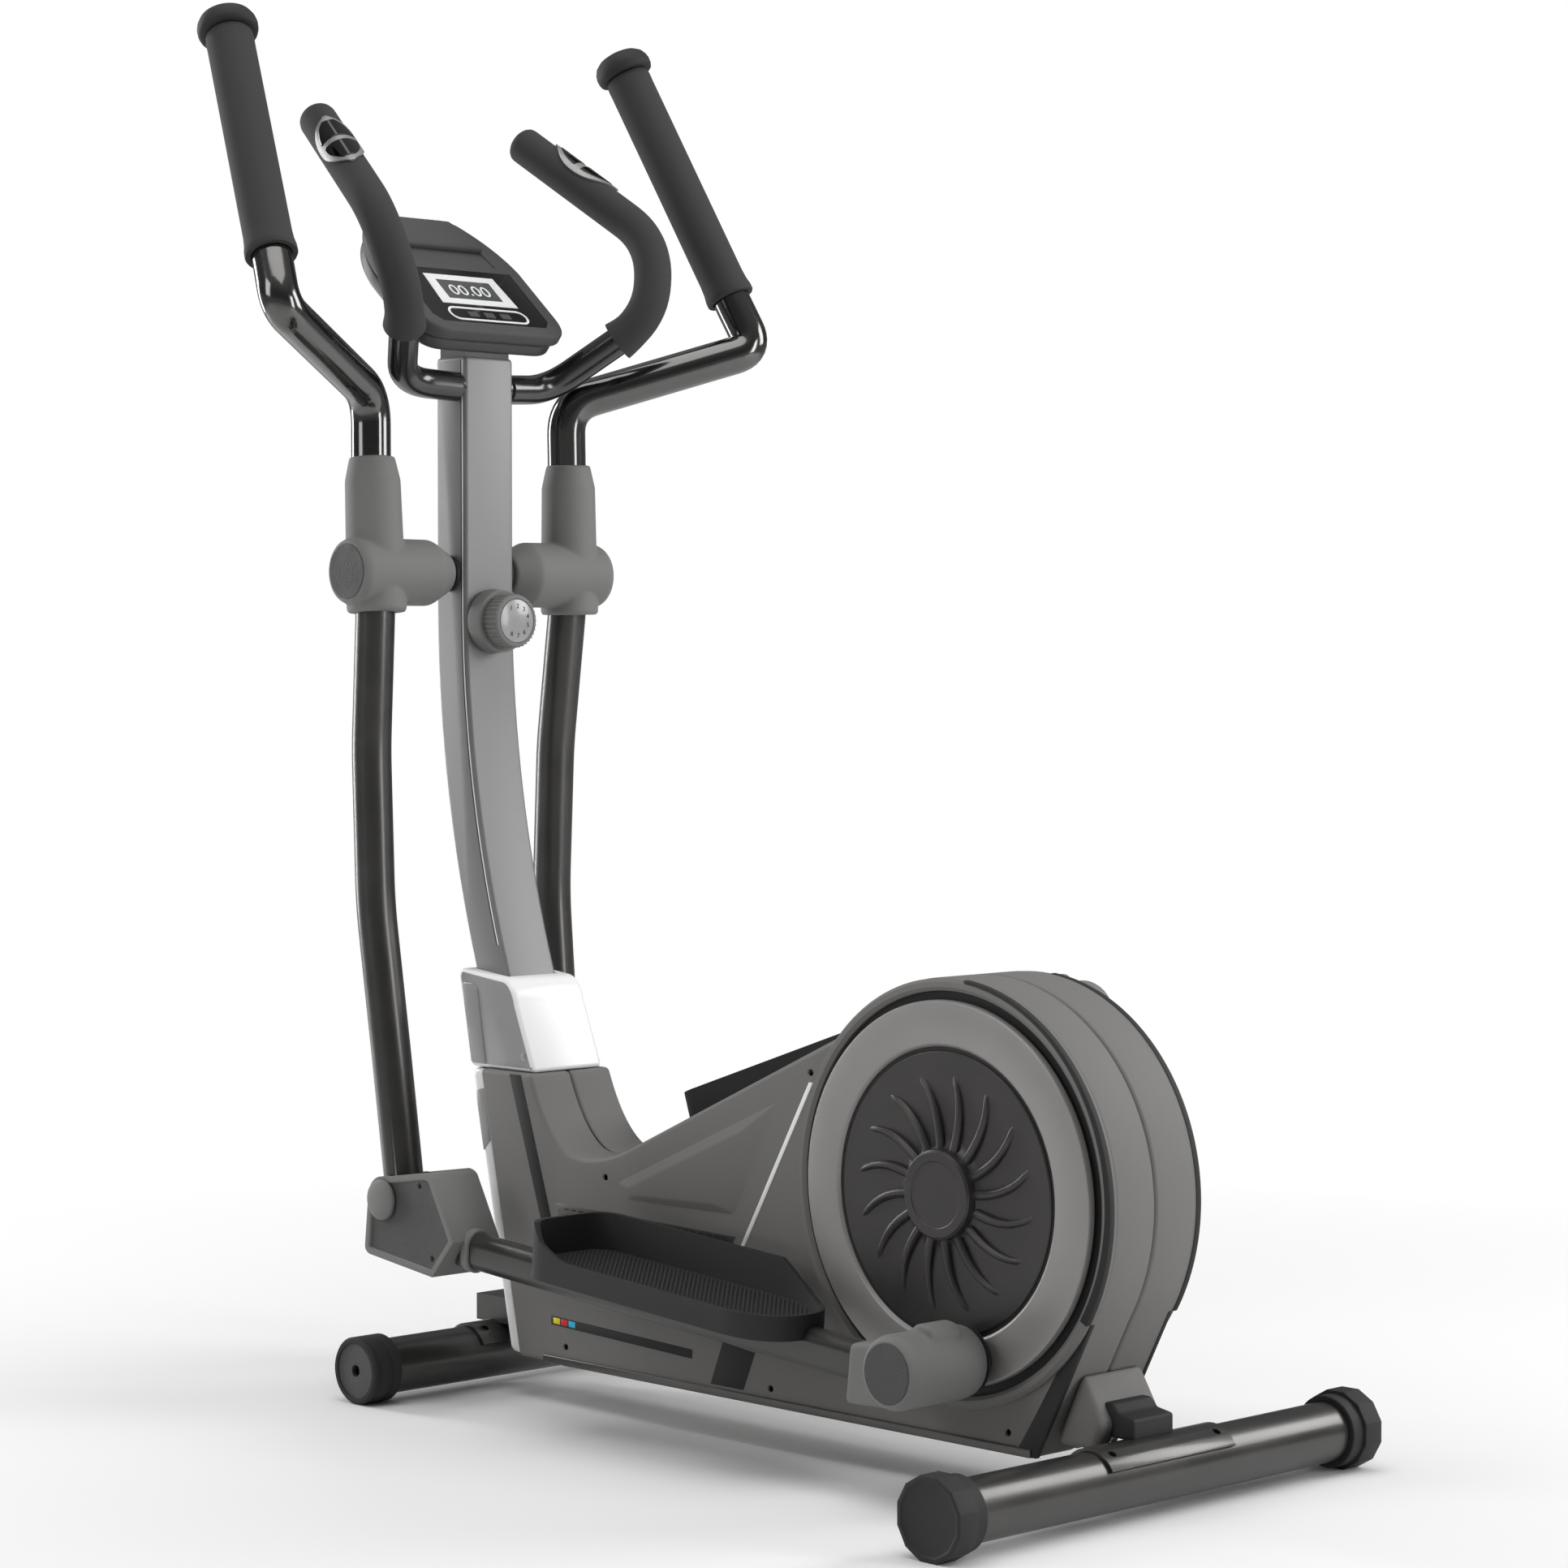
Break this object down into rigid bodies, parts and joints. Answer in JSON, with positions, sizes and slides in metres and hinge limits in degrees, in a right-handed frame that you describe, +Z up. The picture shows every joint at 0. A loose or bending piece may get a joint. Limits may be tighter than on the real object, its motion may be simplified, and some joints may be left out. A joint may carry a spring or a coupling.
{
  "type": "elliptical trainer",
  "caption": "Front-mast cross trainer with swinging arms, hinged pedal bars on crank discs, a magnetic flywheel drive in a round housing and a tilted console.",
  "frame": {"origin": "on the floor, under the middle of the bounding box", "axes": "+Z up, -X towards the mast and console, +X towards the crank housing, -Y the user's left"},
  "size_m": [1.2046, 0.721, 1.5711],
  "materials": {
    "painted_frame": "satin grey metallic powder coat",
    "mast_paint": "satin grey metallic powder coat",
    "dark_tube": "gloss black-chrome paint",
    "housing_plastic": "satin grey moulded cover",
    "white_gloss": "gloss white moulding",
    "disc_ring": "light grey satin",
    "disc_centre": "dark grey satin",
    "joint_plastic": "fine textured grey",
    "black_plastic": "black moulded",
    "foam": "closed-cell foam sleeve",
    "console_plastic": "dark grey moulded shell",
    "window_gloss": "gloss black window",
    "bright_steel": "machined",
    "flywheel_iron": "cast and turned",
    "rubber": "black rubber"
  },
  "bodies": {
    "frame": {"main_frame": "painted_frame", "mast": "mast_paint", "front_stabilizer": "painted_frame", "rear_stabilizer": "painted_frame", "front_saddle": "painted_frame", "rear_saddle": "painted_frame", "rear_tube_cover": "painted_frame", "left_cover": "housing_plastic", "right_cover": "housing_plastic", "neck_collar": "white_gloss", "front_cover": "white_gloss", "arm_axle": "bright_steel", "fixed_handlebar": "dark_tube", "fixed_grip_left": "foam", "fixed_grip_right": "foam", "pulse_sensor_left": "disc_ring", "pulse_sensor_right": "disc_ring", "console_base": "console_plastic", "console_top": "console_plastic", "console_window": "window_gloss", "knob_base": "joint_plastic", "flywheel_axle": "bright_steel", "drive_belt": "rubber"},
    "crank": {"crank_axle": "bright_steel", "crank_pulley": "black_plastic", "crank_disc_left": "disc_ring", "crank_disc_right": "disc_ring", "disc_insert_left": "disc_centre", "disc_insert_right": "disc_centre", "crank_pin_left": "bright_steel", "crank_pin_right": "bright_steel"},
    "flywheel": {"flywheel": "flywheel_iron"},
    "idler": {"idler": "black_plastic"},
    "brake": {"brake_bracket": "bright_steel"},
    "knob": {"tension_knob": "joint_plastic"},
    "key_left": {"button_left": "black_plastic"},
    "key_middle": {"button_middle": "black_plastic"},
    "key_right": {"button_right": "black_plastic"},
    "left_arm": {"arm_tube_left": "dark_tube", "tee_cover_left": "joint_plastic", "arm_grip_left": "foam", "arm_knob_left": "black_plastic"},
    "right_arm": {"arm_tube_right": "dark_tube", "tee_cover_right": "joint_plastic", "arm_grip_right": "foam", "arm_knob_right": "black_plastic"},
    "left_bar": {"pedal_bar_left": "dark_tube", "pedal_left": "black_plastic", "front_joint_cover_left": "joint_plastic", "rear_joint_cover_left": "joint_plastic", "pivot_bolt_left": "bright_steel"},
    "right_bar": {"pedal_bar_right": "dark_tube", "pedal_right": "black_plastic", "front_joint_cover_right": "joint_plastic", "rear_joint_cover_right": "joint_plastic", "pivot_bolt_right": "bright_steel"},
    "left_rear_foot": {"rear_cap_left": "black_plastic"},
    "right_rear_foot": {"rear_cap_right": "black_plastic"},
    "left_roller": {"front_roller_left": "rubber"},
    "right_roller": {"front_roller_right": "rubber"}
  },
  "joints": [
    {"name": "crank_spin", "type": "hinge", "parent": "frame", "child": "crank", "pos_m": [0.35115, 0, 0.297], "axis": [0, 1, 0], "continuous": true},
    {"name": "flywheel_spin", "type": "hinge", "parent": "frame", "child": "flywheel", "pos_m": [0.03515, 0, 0.208], "axis": [0, 1, 0], "continuous": true},
    {"name": "idler_spin", "type": "hinge", "parent": "frame", "child": "idler", "pos_m": [0.18215, 0.032, 0.1335], "axis": [0, 1, 0], "continuous": true},
    {"name": "tension_turn", "type": "hinge", "parent": "frame", "child": "knob", "pos_m": [-0.41585, 0, 0.876], "axis": [1, 0, 0], "range_deg": [0, 270]},
    {"name": "brake_swing", "type": "hinge", "parent": "frame", "child": "brake", "pos_m": [-0.06585, 0, 0.13], "axis": [0, -1, 0], "range_deg": [0, 6]},
    {"name": "left_arm_swing", "type": "hinge", "parent": "frame", "child": "left_arm", "pos_m": [-0.46885, 0, 0.931], "axis": [0, -1, 0], "range_deg": [-14, 9.5]},
    {"name": "right_arm_swing", "type": "hinge", "parent": "frame", "child": "right_arm", "pos_m": [-0.46885, 0, 0.931], "axis": [0, -1, 0], "range_deg": [-9.5, 14]},
    {"name": "left_bar_pivot", "type": "hinge", "parent": "left_arm", "child": "left_bar", "pos_m": [-0.41813, -0.145, 0.22482], "axis": [0, -1, 0], "range_deg": [-9.5, 14]},
    {"name": "right_bar_pivot", "type": "hinge", "parent": "right_arm", "child": "right_bar", "pos_m": [-0.47707, 0.145, 0.22305], "axis": [0, -1, 0], "range_deg": [-14, 9.5]},
    {"name": "left_rear_foot_turn", "type": "hinge", "parent": "frame", "child": "left_rear_foot", "pos_m": [0.56215, -0.3, 0.04018], "axis": [0, 1, 0], "range_deg": [-90, 90]},
    {"name": "right_rear_foot_turn", "type": "hinge", "parent": "frame", "child": "right_rear_foot", "pos_m": [0.56215, 0.3, 0.04018], "axis": [0, 1, 0], "range_deg": [-90, 90]},
    {"name": "left_roller_spin", "type": "hinge", "parent": "frame", "child": "left_roller", "pos_m": [-0.41185, -0.2, 0.0376], "axis": [0, 1, 0], "continuous": true},
    {"name": "right_roller_spin", "type": "hinge", "parent": "frame", "child": "right_roller", "pos_m": [-0.41185, 0.2, 0.0376], "axis": [0, 1, 0], "continuous": true},
    {"name": "button_left_press", "type": "slide", "parent": "frame", "child": "key_left", "axis": [-0.6561, 0, -0.7547], "range_m": [0, 0.001], "stiffness_N_per_m": 400},
    {"name": "button_middle_press", "type": "slide", "parent": "frame", "child": "key_middle", "axis": [-0.6561, 0, -0.7547], "range_m": [0, 0.001], "stiffness_N_per_m": 400},
    {"name": "button_right_press", "type": "slide", "parent": "frame", "child": "key_right", "axis": [-0.6561, 0, -0.7547], "range_m": [0, 0.001], "stiffness_N_per_m": 400}
  ],
  "couplings": [
    {"joint": "flywheel_spin", "follows": "crank_spin", "ratio": 6.8182},
    {"joint": "idler_spin", "follows": "crank_spin", "ratio": -7.5},
    {"joint": "brake_swing", "follows": "tension_turn", "ratio": 0.02222},
    {"joint": "right_arm_swing", "follows": "left_arm_swing", "ratio": -1},
    {"joint": "left_bar_pivot", "follows": "left_arm_swing", "ratio": -1},
    {"joint": "right_bar_pivot", "follows": "left_arm_swing", "ratio": 1}
  ]
}
